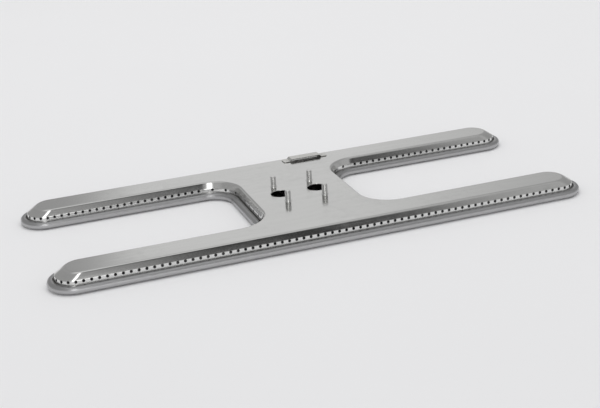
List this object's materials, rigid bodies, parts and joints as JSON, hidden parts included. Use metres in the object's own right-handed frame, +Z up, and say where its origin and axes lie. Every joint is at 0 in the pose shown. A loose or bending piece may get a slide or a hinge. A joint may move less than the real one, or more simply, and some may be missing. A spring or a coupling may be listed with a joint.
{
  "type": "gas burner",
  "caption": "H-shaped stamped stainless gas burner: ported shell with two inlets and their studs, rolled onto a shallow cover pan, with a bracket strap.",
  "frame": {"origin": "middle of the burner on the surface it lies on, cover down", "axes": "+X along the legs, +Y towards the leg with the bracket strap, +Z up through the inlets"},
  "size_m": [0.547, 0.22, 0.0287],
  "materials": {
    "satin_stainless": "satin, cold-rolled",
    "rolled_stainless": "satin, burnished along the rolled seam",
    "inner_sheet": "dull mill finish",
    "strap_stainless": "mill finish",
    "stud_steel": "bright"
  },
  "bodies": {
    "root": {"burner_shell": "satin_stainless", "cover_shell": "rolled_stainless", "centre_divider": "inner_sheet", "bracket_strap": "strap_stainless", "stud_left_front": "stud_steel", "stud_left_rear": "stud_steel", "stud_right_front": "stud_steel", "stud_right_rear": "stud_steel"}
  },
  "joints": []
}
